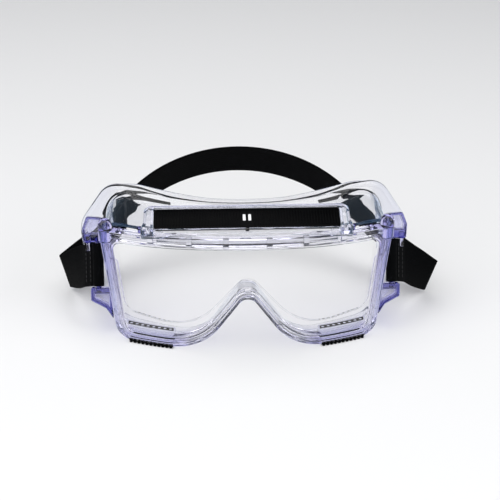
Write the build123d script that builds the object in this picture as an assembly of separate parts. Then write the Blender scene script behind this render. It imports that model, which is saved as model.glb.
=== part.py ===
from build123d import *
import os
from math import cos, hypot, radians, sin, sqrt

os.makedirs("parts", exist_ok=True)

# Safety goggles, resting on a table, z = 0, as they are put down.
# Millimetres. +X is the right-hand side seen from the front, +Y runs back to the wearer, +Z is up.
# The origin is on the table, below the middle of the lens rim's front.

# ---------------------------------------------------------------- driving dimensions
WALL = 2.0  # moulded body wall
LENS_RADIUS = 165.0  # rim front and lens are upright cylinders of about this radius
LENS_THICK = 2.0
LENS_SET_BACK = 2.5  # lens front behind the rim front
RIM_DEPTH = 8.0
LENS_GRIP = 2.0  # how far the lens edge sits inside the rim
LENS_TABS = ((11.8, 69.2), (31.8, 69.2), (52.7, 67.6))  # x and top of each tab that holds the lens
LENS_TAB_FOOT = 63.4
LENS_TAB_WIDTH = 3.2
KNUCKLE_AT = (78.2, 21.5, 64.2)  # domed posts at the rim's upper corners
KNUCKLE_RADIUS = 3.9
KNUCKLE_HEIGHT = 9.6

FACE_RADIUS = 140.0  # the seal's curve round the face
FACE_TILT = 19.65  # the face side leans, its top further back
FACE_TOP = (42.0, 75.0)  # y and z of the seal's face side on the centre line
SEAL_THICK = 2.0

VENT_FRONT = (8.0, 71.8)  # y and z of the vent cover's front edge
VENT_TILT = 17.5
VENT_COVER = (102.0, 15.6, 2.2)
VENT_GAP = 0.3
VENT_FRAME = (113.0, 20.2)
VENT_WINDOW = (1.8, 4.4)
VENT_WINDOW_AT = (1.75, 7.8)  # across from the centre line, and back up the slope
AIR_SLOT = (92.0, 11.0)
RIVET_AT = (58.8, 17.5, 68.1)
RIVET_SHANK = 1.1
RIVET_HEAD = (1.8, 1.4)  # radius and height

BOTTOM_VENT = (40.5, 68.5)  # from and to, across the mask
BOTTOM_COVER = (42.0, 67.0)
BOTTOM_COVER_LIP = 1.0  # top of the toothed lip in front of the rim
HOUSING_TOP = 5.2
GRILLE_FOOT = 3.2
HOLE_COUNT = 8
HOLE_SIZE = (1.5, 1.7)
TOOTH_COUNT = 11
TOOTH_DEPTH = 0.9

PIN_RADIUS = 1.5
PIN_CENTRE = (84.5, 40.0, 35.3)
STRAP_WIDTH = 25.0
STRAP_THICK = 1.6
RUNNING_FIT = 0.06
TAB_LENGTH = 14.0
TAB_ANGLE = 32.0  # the strap leaves its pin outwards by this much
STRAP_GAP = 0.5
PIN_PLAY = 0.7  # between the strap's edges and the lugs
LUG_HALF_DEPTH = 4.2
STITCH_ROWS = (6.0, 11.5)  # along the tab from the pin

LOOP_TILT = 32.0  # the strap stands up towards the rear
LOOP_FOOT = (72.0, -0.6)  # y and z of the loop plane at its front
REAR_RADIUS = 84.0
REAR_CENTRE = (-2.0, 6.8)
REAR_HALF_LEFT = 53.0
REAR_HALF_RIGHT = 50.0
SLIDE_RUN = 30.0  # straight stretch that the adjuster travels on
STANDING_RUN_RIGHT = 48.0  # the same stretch on the other side

TOOTH_DROP = 1.2  # the bottom vent covers reach this far below the rim, and stand on the table

DEPTH = 120.0  # long enough to cut right through the mask from front to back


# ---------------------------------------------------------------- helpers
def mirrored(half):
    """A closed ring of (x, z, radius) corners from the right-hand half, bottom to top."""
    left = [(-x, z, r) for x, z, r in reversed(half)]
    return half + left


def moved_in(ring, distance):
    """The ring with every side moved inwards; a negative distance moves them out."""
    count = len(ring)
    sides = []
    for i in range(count):
        (x0, z0, _), (x1, z1, _) = ring[i], ring[(i + 1) % count]
        length = hypot(x1 - x0, z1 - z0)
        normal = (-(z1 - z0) / length, (x1 - x0) / length)
        sides.append(((x0 + normal[0] * distance, z0 + normal[1] * distance), (x1 - x0, z1 - z0)))
    result = []
    for i in range(count):
        (p, a), (q, b) = sides[i - 1], sides[i]
        cross = a[0] * b[1] - a[1] * b[0]
        along = ((q[0] - p[0]) * b[1] - (q[1] - p[1]) * b[0]) / cross
        radius = ring[i][2] - distance if cross > 0 else ring[i][2] + distance
        result.append((p[0] + a[0] * along, p[1] + a[1] * along, max(radius, 0.6)))
    return result


def ring_face(ring, y):
    """The ring as a flat face across the mask at depth y."""
    plane = Plane(origin=(0, y, 0), x_dir=(1, 0, 0), z_dir=(0, -1, 0))
    points = [plane.from_local_coords((x, z, 0)) for x, z, _ in ring]
    return Face(Wire(FilletPolyline(*points, radius=[r for _, _, r in ring], close=True)))


def prism(ring, start=-20.0, depth=DEPTH):
    """The ring drawn through the mask from front to back."""
    return extrude(ring_face(ring, start), amount=depth, dir=(0, 1, 0))


def tapered(front_ring, rear_ring):
    """A closed solid that changes from one ring to the other along the mask."""
    return loft([ring_face(front_ring, -1.0), ring_face(rear_ring, 75.0)], ruled=True)


def lens_cylinder(set_back):
    """Everything behind the lens curve, moved back from the rim's front face."""
    radius = LENS_RADIUS - set_back
    return Pos(0, LENS_RADIUS, 40) * Cylinder(radius, 160)


def head_cylinder(grown=0.0):
    """The wearer's face as one leaning cylinder."""
    top_y, top_z = FACE_TOP
    frame = Plane(
        origin=(0, top_y + FACE_RADIUS / cos(radians(FACE_TILT)), top_z),
        x_dir=(1, 0, 0),
        z_dir=(0, sin(radians(FACE_TILT)), cos(radians(FACE_TILT))),
    )
    return frame * Cylinder(FACE_RADIUS + grown, 400)


def lens_sector(set_back, thick, x_low, x_high, z_low, z_high):
    """A block curved to the lens, on the right-hand side."""
    block = Pos((x_low + x_high) / 2, 25, (z_low + z_high) / 2) * Box(
        x_high - x_low, 80, z_high - z_low
    )
    return (block & lens_cylinder(set_back)) - lens_cylinder(set_back + thick)


def on_left(shape):
    return mirror(shape, about=Plane.YZ)


def one(shape):
    """The shape as a single solid, or as the largest of its solids."""
    return max(shape.solids(), key=lambda solid: solid.volume)


nodes = {}

# ---------------------------------------------------------------- outlines seen from the front
RIM_OUTER = mirrored(
    [(2.8, 32.0, 5), (25.6, 0.0, 34), (73.6, 0.0, 9), (82.2, 66.2, 7), (20.0, 68.5, 200)]
)
RIM_WINDOW = mirrored(
    [(3.8, 36.6, 7), (27.6, 4.0, 36), (68.4, 4.4, 6), (74.6, 59.8, 5), (20.0, 61.9, 200)]
)
BODY_REAR = mirrored(
    [(3.0, 27.6, 6), (24.0, 1.8, 30), (77.0, 3.0, 14), (80.5, 73.2, 16), (20.0, 72.0, 200)]
)
SEAL_OPENING = moved_in(BODY_REAR, WALL)
SEAL_OUTER = mirrored(
    [
        (2.6, 22.6, 5),
        (21.0, 0.4, 26),
        (66.0, 0.4, 22),
        (86.0, 8.0, 18),
        (98.0, 46.0, 18),
        (80.0, 74.6, 18),
        (61.0, 78.0, 30),
        (20.0, 74.6, 200),
    ]
)

body_block = tapered(RIM_OUTER, BODY_REAR)
body_hollow = tapered(moved_in(RIM_OUTER, WALL), moved_in(BODY_REAR, WALL))

# ---------------------------------------------------------------- lens and its rim
lens_outline = moved_in(RIM_WINDOW, -LENS_GRIP)
lens_cut = prism(lens_outline) & lens_cylinder(LENS_SET_BACK)
lens = lens_cut - lens_cylinder(LENS_SET_BACK + LENS_THICK)
nodes["lens"] = one(lens)

rim = (prism(RIM_OUTER) - prism(RIM_WINDOW)) & lens_cylinder(0)
rim -= lens_cylinder(RIM_DEPTH)
for x, tab_top in LENS_TABS:
    tab_from, tab_to = x - LENS_TAB_WIDTH / 2, x + LENS_TAB_WIDTH / 2
    tab = lens_sector(-0.8, 1.6, tab_from, tab_to, LENS_TAB_FOOT, tab_top)
    rim += tab + on_left(tab)
knuckle = Cylinder(KNUCKLE_RADIUS, KNUCKLE_HEIGHT)
knuckle += Pos(0, 0, KNUCKLE_HEIGHT / 2) * Sphere(KNUCKLE_RADIUS)
knuckle = Pos(*KNUCKLE_AT) * knuckle
rim += knuckle + on_left(knuckle)
rim += Pos(0, 2.2, 35.6) * Box(3.6, 3.0, 3.6)
rim -= lens

# ---------------------------------------------------------------- body and face seal
front_half = body_block & lens_cylinder(RIM_DEPTH)
shell = front_half - body_hollow - head_cylinder(SEAL_THICK)

seal = (prism(SEAL_OUTER) - prism(SEAL_OPENING)) & head_cylinder(SEAL_THICK)
seal -= head_cylinder()

# ---------------------------------------------------------------- top vent
vent_plane = Plane(
    origin=(0, *VENT_FRONT),
    x_dir=(1, 0, 0),
    z_dir=(0, -sin(radians(VENT_TILT)), cos(radians(VENT_TILT))),
)
cover_width, cover_depth, cover_thick = VENT_COVER
frame_width, frame_depth = VENT_FRAME


def vent_block(width, depth, low, high, start=0.0, radius=1.5):
    """A rounded block lying in the vent's slope, from its front edge backwards."""
    outline = vent_plane.offset(low) * Pos(0, start + depth / 2) * RectangleRounded(
        width, depth, radius
    )
    return extrude(outline, amount=high - low)


cover = vent_block(cover_width, cover_depth, -0.8, cover_thick - 0.8)
finger_tab = vent_block(2.0, 2.0, -0.8, 0.6, start=-1.2, radius=0.4)
cover += finger_tab
window_x, window_y = VENT_WINDOW_AT
for x in (-window_x, window_x):
    cover -= vent_plane * Pos(x, window_y, 0) * Box(*VENT_WINDOW, 8)
nodes["top_vent_cover"] = one(cover)

vent_frame = vent_block(frame_width, frame_depth, -10.0, 0.9, start=-1.4, radius=6.0)
vent_frame -= vent_block(
    cover_width + 2 * VENT_GAP, cover_depth + 2 * VENT_GAP, -12.0, 3.0, start=-VENT_GAP
)
vent_frame -= vent_plane * Pos(0, -0.2, 0) * Box(2.6, 2.8, 3.6)  # room for the finger tab
vent_frame -= body_block
nodes["top_vent_frame"] = one(vent_frame)

# The catch clips the cover down: two pale lugs stand up in the cover's windows.
catch = vent_block(9.0, 9.0, -2.0, -1.0, start=3.4, radius=1.0)
for x in (-window_x, window_x):
    catch += vent_plane * Pos(x, window_y, -0.25) * Box(1.5, 4.1, 2.7)
nodes["top_vent_catch"] = one(catch - body_block)

# Air slot through the top wall, and the splash baffle hung below it.
shell -= Pos(0, 17.0, 70) * Box(*AIR_SLOT, 16)
baffle_box = Pos(0, 17.0, 66.2) * Box(98, 17, 8)
baffle_air = Pos(0, 17.0, 67.2) * Box(110, 14.6, 7.6)
baffle = (baffle_box - baffle_air) & body_hollow & lens_cylinder(RIM_DEPTH)
nodes["top_vent_baffle"] = baffle

# A rivet at each end of the vent ties the vent frame's foot to the top rail.
shank = Pos(*RIVET_AT) * Pos(0, 0, -2.0) * Cylinder(RIVET_SHANK, 4.4)
head = Pos(*RIVET_AT) * Pos(0, 0, 0.7) * Cylinder(*RIVET_HEAD)
rivet = one((head - prism(RIM_OUTER)) + shank)
nodes["vent_rivet_right"] = rivet
nodes["vent_rivet_left"] = on_left(rivet)
rim -= shank + on_left(shank)

# ---------------------------------------------------------------- bottom vents
vent_from, vent_to = BOTTOM_VENT
well_from, well_to = vent_from + 1.0, vent_to - 1.0
cassette = lens_sector(8.4, 5.4, vent_from, vent_to, 0.9, HOUSING_TOP)
cassette_cut = lens_sector(8.4, 5.4, vent_from, vent_to, -1.0, HOUSING_TOP)
cassette -= lens_sector(9.3, 3.6, well_from, well_to, 1.9, HOUSING_TOP)
grille = lens_sector(9.3, 3.6, well_from, well_to, GRILLE_FOOT, HOUSING_TOP)
for i in range(HOLE_COUNT):
    x = vent_from + 2.8 + i * (vent_to - vent_from - 5.6) / (HOLE_COUNT - 1)
    y = LENS_RADIUS - sqrt((LENS_RADIUS - 11.1) ** 2 - x * x)
    grille -= Pos(x, y, GRILLE_FOOT) * Box(*HOLE_SIZE, 8)

lip_from, lip_to = BOTTOM_COVER
lip_cut = lens_sector(-1.0, 3.0, lip_from - 0.2, lip_to + 0.2, -2.0, BOTTOM_COVER_LIP + 0.2)
plate_cut = lens_sector(1.9, 12.1, lip_from - 0.2, lip_to + 0.2, -1.0, 0.9)
lip = lens_sector(-0.5, 2.4, lip_from, lip_to, -TOOTH_DROP, BOTTOM_COVER_LIP)
tooth_pitch = (lip_to - lip_from) / TOOTH_COUNT
for i in range(TOOTH_COUNT):
    x = lip_from + (i + 0.5) * tooth_pitch
    lip -= Pos(x, 10, -TOOTH_DROP) * Box(tooth_pitch * 0.42, 30, 2 * TOOTH_DEPTH)
lip += lens_sector(1.8, 11.8, lip_from, lip_to, -TOOTH_DROP, 0.4)

for side in ("left", "right"):
    pieces = {"housing": cassette, "grille": grille, "cover": lip}
    for name, piece in pieces.items():
        if side == "left":
            piece = on_left(piece)
        nodes[f"bottom_vent_{name}_{side}"] = one(piece)
for cut in (cassette_cut, lip_cut, plate_cut):
    rim -= cut + on_left(cut)
    shell -= cut + on_left(cut)

nodes["lens_rim"] = one(rim)
nodes["goggle_body"] = one(shell)
nodes["face_seal"] = one(seal)

# ---------------------------------------------------------------- strap pins and their lugs
tilt = radians(FACE_TILT)
pin_axis = Vector(0, sin(tilt), cos(tilt))
pin_frame = Plane(origin=PIN_CENTRE, x_dir=(1, 0, 0), z_dir=pin_axis)
lug_start = STRAP_WIDTH / 2 + PIN_PLAY


def lug(points, front=-LUG_HALF_DEPTH, back=LUG_HALF_DEPTH):
    """A side lug: corners as (outwards, up the pin), between two depths across the pin."""
    plane = Plane(pin_frame.origin, x_dir=(1, 0, 0), z_dir=-pin_frame.y_dir)
    outline = make_face(Polyline(*[plane.from_local_coords(p) for p in points], close=True))
    return extrude(outline, amount=back - front, dir=pin_frame.y_dir).moved(
        Location(pin_frame.y_dir * front)
    )


upper = lug([(-9, lug_start), (8, lug_start), (8.6, 21), (6, 28), (-4, 27), (-9, 20)])
finger = lug([(4.2, lug_start - 4.6), (6.0, lug_start - 4.6), (6.0, 15), (4.2, 15)], -6.4, -4.6)
bridge = lug([(3.6, lug_start), (6.6, lug_start), (6.6, 17), (3.6, 17)], -6.4, -4.0)
upper += finger + bridge
lower = lug(
    [(-9, -lug_start), (4.4, -lug_start), (4.4, -20.4), (-4.2, -25), (-9, -31), (-12, -27)]
)
pin = pin_frame * Cylinder(PIN_RADIUS, 2 * lug_start + 5.0)
for side in ("left", "right"):
    for name, piece in (("upper", upper), ("lower", lower)):
        piece = one(piece - pin - body_block - rim)
        nodes[f"strap_lug_{name}_{side}"] = on_left(piece) if side == "left" else piece
    nodes[f"strap_pin_{side}"] = on_left(pin) if side == "left" else pin

# ---------------------------------------------------------------- sewn strap ends on the pins
loop_outer = PIN_RADIUS + RUNNING_FIT + STRAP_THICK
tab_frame = pin_frame.rotated((0, 0, -TAB_ANGLE))


def strap_end():
    """The strap's end: a loop round the pin, closed by a doubled tab sewn flat."""
    loop = pin_frame * Cylinder(loop_outer, STRAP_WIDTH)
    tab = tab_frame * Pos(0, TAB_LENGTH / 2, 0) * Box(2 * STRAP_THICK, TAB_LENGTH, STRAP_WIDTH)
    return (loop + tab) - pin_frame * Cylinder(PIN_RADIUS + RUNNING_FIT, STRAP_WIDTH + 1)


def stitching():
    """Two rows of thread on each face of the tab."""
    rows = []
    for across in (-1, 1):
        for along in STITCH_ROWS:
            at = Pos(across * (STRAP_THICK + 0.15), along, 0)
            rows.append(tab_frame * at * Box(0.3, 1.2, STRAP_WIDTH - 5))
    return Compound(rows)


for side in ("left", "right"):
    end, thread = strap_end(), stitching()
    if side == "left":
        end, thread = on_left(end), on_left(thread)
    nodes[f"strap_end_{side}"] = end
    nodes[f"strap_stitching_{side}"] = thread


# ---------------------------------------------------------------- the headband
loop_tilt = radians(LOOP_TILT)
loop_up = Vector(0, -sin(loop_tilt), cos(loop_tilt))
loop_back = Vector(0, cos(loop_tilt), sin(loop_tilt))


def in_loop(u, s):
    """A point of the loop's own plane, along the strap's lower edge."""
    return Vector(u, LOOP_FOOT[0], LOOP_FOOT[1]) + loop_back * s


def rear_point(angle):
    """A point of the rear arc; 0 is straight back and positive is to the right."""
    a = radians(angle)
    return in_loop(REAR_CENTRE[0] + REAR_RADIUS * sin(a), REAR_CENTRE[1] + REAR_RADIUS * cos(a))


def side_point(angle, distance):
    """A point on the tangent that leaves the rear arc at an angle."""
    a = radians(angle)
    heading = Vector(cos(a), 0, 0) - loop_back * sin(a)
    if angle < 0:
        heading = heading * -1
    return rear_point(angle) + heading * distance


def upright(point):
    """The strap's lower and upper edge where it stands square to the loop's plane."""
    return point, point + loop_up * STRAP_WIDTH


# Lower and upper corner of the crease where the strap turns back along each side.
CREASE_LEFT = (Vector(-106.1, 80.4, -0.8), Vector(-111.9, 74.6, 24.6))
CREASE_RIGHT = (Vector(111.2, 69.0, -0.8), Vector(117.0, 60.6, 23.2))


def between(first, second, share):
    return tuple(a + (b - a) * share for a, b in zip(first, second))


def tab_edge(side):
    """The headband's first section, just clear of the sewn tab."""
    start = tab_frame.from_local_coords((0, TAB_LENGTH + STRAP_GAP, -STRAP_WIDTH / 2))
    end = tab_frame.from_local_coords((0, TAB_LENGTH + STRAP_GAP, STRAP_WIDTH / 2))
    flip = -1 if side == "left" else 1
    return Vector(start.X * flip, start.Y, start.Z), Vector(end.X * flip, end.Y, end.Z)


def side_sections(side):
    """Sections from the sewn tab, round the crease, to the standing part of the loop."""
    if side == "left":
        crease, standing = CREASE_LEFT, upright(side_point(-REAR_HALF_LEFT, SLIDE_RUN))
    else:
        crease, standing = CREASE_RIGHT, upright(side_point(REAR_HALF_RIGHT, STANDING_RUN_RIGHT))
    tab = tab_edge(side)
    return [
        tab,
        between(tab, crease, 0.5),
        between(tab, crease, 0.94),
        between(crease, standing, 0.05),
        between(crease, standing, 0.5),
        standing,
    ]


def strip(sections, thick):
    """A flat strap through its sections, each given by its lower and upper edge point."""
    faces = []
    for i, (low, high) in enumerate(sections):
        before = sections[max(i - 1, 0)]
        after = sections[min(i + 1, len(sections) - 1)]
        along = (after[0] + after[1] - before[0] - before[1]).normalized()
        across = (high - low).normalized().cross(along).normalized() * (thick / 2)
        corners = [low - across, low + across, high + across, high - across]
        faces.append(Face(Wire(Polyline(*corners, close=True))))
    return loft(faces, ruled=True)


REAR_STEPS = 13
rear_sections = []
for i in range(REAR_STEPS):
    share = i / (REAR_STEPS - 1)
    rear_sections.append(
        upright(rear_point(-REAR_HALF_LEFT + share * (REAR_HALF_LEFT + REAR_HALF_RIGHT)))
    )
band_sections = side_sections("left") + rear_sections + list(reversed(side_sections("right")))
headband = strip(band_sections, STRAP_THICK)
nodes["headband"] = headband

# ---------------------------------------------------------------- strap adjuster
SLIDER_BAR = 2.6
SLIDER_RAIL = 2.5
SLIDER_THICK = 1.5
SLIDER_LENGTH = 15.0
SLIDER_CLEARANCE = 0.3
slide_from = side_point(-REAR_HALF_LEFT, 0)
slide_to = side_point(-REAR_HALF_LEFT, SLIDE_RUN)
slide_middle = (slide_from + slide_to) * 0.5 + loop_up * (STRAP_WIDTH / 2)
slide_dir = (slide_to - slide_from).normalized()
slider_frame = Plane(origin=slide_middle, x_dir=slide_dir, z_dir=slide_dir.cross(loop_up))
slider_width = STRAP_WIDTH + 2 * (SLIDER_CLEARANCE + SLIDER_RAIL)
face_gap = STRAP_THICK / 2 + SLIDER_CLEARANCE

rail_height = 2 * (face_gap + SLIDER_THICK)
slider = Part()
for across in (-1, 1):
    rail_at = across * (slider_width / 2 - SLIDER_RAIL / 2)
    slider += Pos(0, rail_at, 0) * Box(SLIDER_LENGTH, SLIDER_RAIL, rail_height)
for along in (-1, 1):
    bar_at = along * (SLIDER_LENGTH / 2 - SLIDER_BAR / 2)
    slider += Pos(bar_at, 0, -(face_gap + SLIDER_THICK / 2)) * Box(
        SLIDER_BAR, slider_width, SLIDER_THICK
    )
slider += Pos(0, 0, face_gap + SLIDER_THICK / 2) * Box(SLIDER_BAR, slider_width, SLIDER_THICK)
nodes["strap_slider"] = slider_frame * slider

# ---------------------------------------------------------------- output
# All heights above are from the rim's lowest point; the table is TOOTH_DROP below it.
for name, shape in nodes.items():
    shape = Pos(0, 0, TOOTH_DROP) * shape
    export_step(shape, f"parts/{name}.step")
    box = shape.bounding_box()
    print(f"{name:28s} {box.min.X:8.2f} {box.min.Y:8.2f} {box.min.Z:8.2f}", end=" ")
    print(f"{box.max.X:8.2f} {box.max.Y:8.2f} {box.max.Z:8.2f}")
print("slide axis", slide_dir, "slider middle", slide_middle)
print("pin axis", pin_axis)
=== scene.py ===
import bpy, bmesh
import numpy as np
from functools import partial
from math import radians, sin, cos, tan, hypot, pi, acos
from mathutils import Vector, Matrix


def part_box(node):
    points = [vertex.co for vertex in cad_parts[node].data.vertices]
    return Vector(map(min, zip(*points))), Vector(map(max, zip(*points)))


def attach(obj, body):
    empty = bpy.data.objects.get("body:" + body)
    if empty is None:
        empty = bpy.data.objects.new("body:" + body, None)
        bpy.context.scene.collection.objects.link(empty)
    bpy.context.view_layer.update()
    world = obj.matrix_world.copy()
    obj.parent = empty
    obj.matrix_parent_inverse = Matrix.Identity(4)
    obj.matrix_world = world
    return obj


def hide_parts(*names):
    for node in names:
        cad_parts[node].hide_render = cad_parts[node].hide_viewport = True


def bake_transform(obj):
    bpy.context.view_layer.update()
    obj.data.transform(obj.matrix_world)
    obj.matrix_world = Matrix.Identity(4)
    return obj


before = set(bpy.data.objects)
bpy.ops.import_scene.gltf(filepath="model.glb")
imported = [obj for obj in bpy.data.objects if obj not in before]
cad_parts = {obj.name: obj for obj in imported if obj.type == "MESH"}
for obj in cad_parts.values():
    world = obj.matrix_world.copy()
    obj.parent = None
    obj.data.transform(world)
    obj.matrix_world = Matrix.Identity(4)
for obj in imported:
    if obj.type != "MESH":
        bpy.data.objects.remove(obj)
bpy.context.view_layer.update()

# ---- Table, light and camera ------------------------------------------------------
# The goggles stand on a plain pale table under one large soft light, with a fill in front and
# one on each side. Nothing here belongs to the object.
scene = bpy.context.scene
scene.view_settings.view_transform = "Standard"
scene.view_settings.look = "None"


def linked(mesh, name):
    """A mesh as an object of that name in the scene."""
    thing = bpy.data.objects.new(name, mesh)
    scene.collection.objects.link(thing)
    return thing


def new_material(name):
    """An empty node material and its output node."""
    material = bpy.data.materials.new(name)
    material.use_nodes = True
    tree = material.node_tree
    tree.nodes.clear()
    return material, tree, tree.nodes.new("ShaderNodeOutputMaterial")


def principled(tree, out, **values):
    """A Principled shader on the material's output, its plain values set on its own sockets."""
    shader = tree.nodes.new("ShaderNodeBsdfPrincipled")
    for name, value in values.items():
        shader.inputs[name.replace("_", " ")].default_value = value
    tree.links.new(shader.outputs[0], out.inputs["Surface"])
    return shader


TABLE_SIZE = 6.0
TABLE_TONE = (0.80, 0.805, 0.815, 1)
table_paint, tree, out = new_material("table_paper")
principled(tree, out, Base_Color=TABLE_TONE, Roughness=0.7)
half = TABLE_SIZE / 2
sheet = bpy.data.meshes.new("table")
sheet.from_pydata([(-half, -half, 0), (half, -half, 0), (half, half, 0), (-half, half, 0)],
                  [], [(0, 1, 2, 3)])
sheet.materials.append(table_paint)
linked(sheet, "table")

world = bpy.data.worlds.new("studio_air")
world.use_nodes = True
world.node_tree.nodes["Background"].inputs[0].default_value = (0.62, 0.68, 0.85, 1)
world.node_tree.nodes["Background"].inputs[1].default_value = 0.10
scene.world = world


def soft_light(name, place, aim, size, power, tone=(1, 1, 1)):
    """A square area light that faces a point."""
    lamp = bpy.data.lights.new(name, "AREA")
    lamp.shape, lamp.size, lamp.energy, lamp.color = "SQUARE", size, power, tone
    holder = bpy.data.objects.new(name, lamp)
    holder.location = place
    holder.rotation_euler = (Vector(aim) - Vector(place)).to_track_quat("-Z", "Y").to_euler()
    scene.collection.objects.link(holder)


soft_light("key_above", (-0.2, -0.1, 1.5), (0, 0.05, 0), 2.2, 31, (1, 0.99, 0.97))
soft_light("fill_front", (0, -1.4, 0.9), (0, 0.05, 0), 1.2, 8)
soft_light("fill_left", (-1.3, -0.6, 0.8), (0, 0.05, 0.02), 0.9, 7)
soft_light("fill_right", (1.3, -0.5, 0.7), (0, 0.05, 0.02), 0.9, 7)

VIEW_TARGET = Vector((0, 0.030, 0.0362))
VIEW_AZIMUTH, VIEW_ELEVATION, VIEW_DISTANCE = radians(-2), radians(27), 0.75
camera_data = bpy.data.cameras.new("camera")
camera_data.lens, camera_data.sensor_width = 94.74, 36
camera_data.shift_x, camera_data.shift_y = 0.008, 0.0412
camera_data.clip_start = 0.02
camera = bpy.data.objects.new("camera", camera_data)
back = Vector((
    sin(VIEW_AZIMUTH) * cos(VIEW_ELEVATION),
    -cos(VIEW_AZIMUTH) * cos(VIEW_ELEVATION),
    sin(VIEW_ELEVATION),
))
camera.location = VIEW_TARGET + back * VIEW_DISTANCE
camera.rotation_euler = (-back).to_track_quat("-Z", "Y").to_euler()
scene.collection.objects.link(camera)
scene.camera = camera

# ---- Soft mask moulding -------------------------------------------------------------
# The whole mask is one injection moulding of clear violet-tinted vinyl: grooved lens rim,
# thin walls and a beaded flange that seals round the face. The strap lugs, the lens tabs,
# the corner knuckles and the vent's frame are moulded on with it.
MM = 0.001
pin_low, pin_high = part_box("strap_pin_left")
TABLE_GAP = (pin_low.z + pin_high.z) / 2 / MM - 35.3  # the rim's lowest point above the table
LENS_RADIUS = 165.0
RIM_DEPTH = 8.0
FACE_RADIUS, FACE_TILT, FACE_TOP = 140.0, radians(19.65), (42.0, 75.0)
RIM_OUTER = [(2.8, 32.0, 5), (25.6, 0.0, 34), (73.6, 0.0, 9), (82.2, 66.2, 7), (20.0, 68.5, 200)]
RIM_WINDOW = [(3.8, 36.6, 7), (27.6, 4.0, 36), (68.4, 4.4, 6), (74.6, 59.8, 5), (20.0, 61.9, 200)]
BODY_REAR = [(3.0, 27.6, 6), (24.0, 1.8, 30), (77.0, 3.0, 14), (80.5, 73.2, 16), (20.0, 72.0, 200)]
SEAL_EDGE = [
    (2.6, 22.6, 5), (21.0, 0.4, 26), (66.0, 0.4, 22), (86.0, 8.0, 18),
    (98.0, 46.0, 18), (80.0, 74.6, 18), (61.0, 78.0, 30), (20.0, 74.6, 200),
]
SPANS = (6, 34, 38, 56, 46, 14)  # stations between matching corners, from nose to crown


def moved_in(corners, distance):
    """Corners of a half outline with every side moved inwards."""
    ring = corners + [(-x, z, r) for x, z, r in reversed(corners)]
    sides = []
    for (x0, z0, _), (x1, z1, _) in zip(ring, ring[1:] + ring[:1]):
        length = hypot(x1 - x0, z1 - z0)
        n = (-(z1 - z0) / length, (x1 - x0) / length)
        sides.append(((x0 + n[0] * distance, z0 + n[1] * distance), (x1 - x0, z1 - z0)))
    moved = []
    for i in range(len(corners)):
        (p, a), (q, b) = sides[i - 1], sides[i]
        cross = a[0] * b[1] - a[1] * b[0]
        along = ((q[0] - p[0]) * b[1] - (q[1] - p[1]) * b[0]) / cross
        radius = ring[i][2] - distance if cross > 0 else ring[i][2] + distance
        moved.append((p[0] + a[0] * along, p[1] + a[1] * along, max(radius, 0.6)))
    return moved


def outline(corners, keys=(0, 1, 2, 3, 4)):
    """The closed outline as matching stations (x, z); keys say which corners the spans meet."""
    path = [(0.0, corners[0][1])] + [c[:2] for c in corners] + [(0.0, corners[-1][1])]
    points, marks, length = [np.array(path[0])], [], 0.0

    def add(point):
        nonlocal length
        length += float(np.hypot(*(point - points[-1])))
        points.append(point)

    for i, (_, _, radius) in enumerate(corners):
        a, p, b = (np.array(v, float) for v in path[i:i + 3])
        u, v = (p - a) / np.hypot(*(p - a)), (b - p) / np.hypot(*(b - p))
        turn = acos(max(-1.0, min(1.0, float(u @ v))))
        reach = radius * tan(turn / 2)
        side = 1.0 if u[0] * v[1] - u[1] * v[0] > 0 else -1.0
        start = p - u * reach
        centre = start + side * radius * np.array((-u[1], u[0]))
        for k in range(13):
            w = side * turn * k / 12
            arm = start - centre
            add(centre + np.array((arm[0] * cos(w) - arm[1] * sin(w), arm[0] * sin(w) + arm[1] * cos(w))))
            if k == 6:
                marks.append(length)
    add(np.array(path[-1]))
    steps = np.hypot(*np.diff(np.array(points), axis=0).T)
    along = np.concatenate(([0.0], np.cumsum(steps)))
    stops = [0.0] + [float(np.interp(k, range(len(marks)), marks)) for k in keys] + [float(along[-1])]
    at = np.concatenate([
        np.linspace(stops[i], stops[i + 1], count, endpoint=False) for i, count in enumerate(SPANS)
    ] + [[stops[-1]]])
    points = np.array(points)
    right = np.stack([np.interp(at, along, points[:, 0]), np.interp(at, along, points[:, 1])], 1)
    left = right[1:-1][::-1] * (-1, 1)
    return np.concatenate([right, left])


def at_lens(ring, set_back):
    """Stations at a depth behind the lens curve."""
    radius = LENS_RADIUS - set_back
    y = LENS_RADIUS - np.sqrt(radius ** 2 - ring[:, 0] ** 2)
    return np.stack([ring[:, 0], y, ring[:, 1]], 1)


def face_depth(x, z, grown):
    """Depth of the wearer's face, as a leaning cylinder grown outwards."""
    axis_y = FACE_TOP[0] + FACE_RADIUS / cos(FACE_TILT)
    across = -np.sqrt((FACE_RADIUS + grown) ** 2 - x ** 2)
    return axis_y + (across + (z - FACE_TOP[1]) * sin(FACE_TILT)) / cos(FACE_TILT)


def at_face(ring, grown):
    """Stations at a height above the face side of the seal."""
    return np.stack([ring[:, 0], face_depth(ring[:, 0], ring[:, 1], grown), ring[:, 1]], 1)


def mix(a, b, share):
    return a + (b - a) * share


def wall_ends(front, rear):
    """Where a wall that tapers from one outline to the other meets the rim and the seal."""
    ends = []
    for reach in (lambda r: at_lens(r, RIM_DEPTH), lambda r: at_face(r, 2.0)):
        ring = front
        for _ in range(4):
            ring = mix(front, rear, ((reach(ring)[:, 1:2]) + 1.0) / 76.0)
        ends.append(reach(ring))
    return ends


def placed(points):
    """Millimetres above the rim's lowest point to metres above the table."""
    points = np.array(points, float) * MM
    points[..., 2] += TABLE_GAP * MM
    return points


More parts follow.
